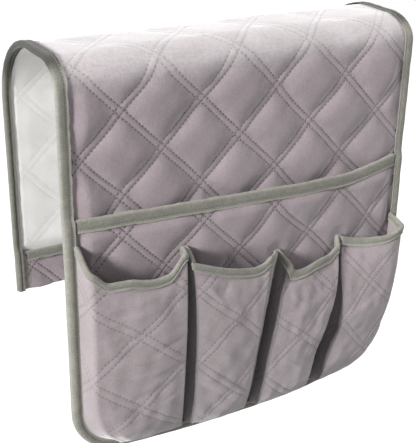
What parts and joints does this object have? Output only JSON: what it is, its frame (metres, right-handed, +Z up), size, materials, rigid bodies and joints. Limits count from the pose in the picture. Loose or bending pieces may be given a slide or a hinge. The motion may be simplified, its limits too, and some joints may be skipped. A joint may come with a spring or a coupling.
{
  "type": "sofa armrest organizer",
  "caption": "Quilted cloth organizer that hangs over a sofa arm, with a short rear flap and a long front flap that carries a wide magazine pocket and a row of pleated pockets.",
  "frame": {"origin": "underside of the lining, in the middle of the saddle's flat strip, where it rests on the armrest", "axes": "+X along the armrest, -Y towards the front flap with the pockets, +Z up"},
  "size_m": [0.33, 0.1612, 0.3514],
  "materials": {
    "quilted_cloth": "matt quilted microfibre",
    "lining_cloth": "matt non-slip lining",
    "batting": "thin fleece batting",
    "binding_tape": "matt bias tape"
  },
  "bodies": {
    "saddle": {"saddle_face_cloth": "quilted_cloth", "saddle_batting": "batting", "saddle_lining": "lining_cloth", "saddle_left_binding": "binding_tape", "saddle_right_binding": "binding_tape"},
    "front_flap": {"front_face_cloth": "quilted_cloth", "front_batting": "batting", "front_lining": "lining_cloth", "front_binding": "binding_tape", "magazine_pocket": "quilted_cloth", "magazine_pocket_binding": "binding_tape", "pleated_pocket_1": "quilted_cloth", "pleated_pocket_1_binding": "binding_tape", "pleated_pocket_2": "quilted_cloth", "pleated_pocket_2_binding": "binding_tape", "pleated_pocket_3": "quilted_cloth", "pleated_pocket_3_binding": "binding_tape", "pleated_pocket_4": "quilted_cloth", "pleated_pocket_4_binding": "binding_tape"},
    "rear_flap": {"rear_face_cloth": "quilted_cloth", "rear_batting": "batting", "rear_lining": "lining_cloth", "rear_left_binding": "binding_tape", "rear_right_binding": "binding_tape", "rear_turn_up": "quilted_cloth", "rear_turn_up_binding": "binding_tape"}
  },
  "joints": [
    {"name": "front_flap_fold", "type": "hinge", "parent": "saddle", "child": "front_flap", "pos_m": [0, -0.0462, -0.018], "axis": [-1, 0, 0], "range_deg": [0, 90]},
    {"name": "rear_flap_fold", "type": "hinge", "parent": "saddle", "child": "rear_flap", "pos_m": [0, 0.0812, -0.059], "axis": [1, 0, 0], "range_deg": [0, 90]}
  ]
}
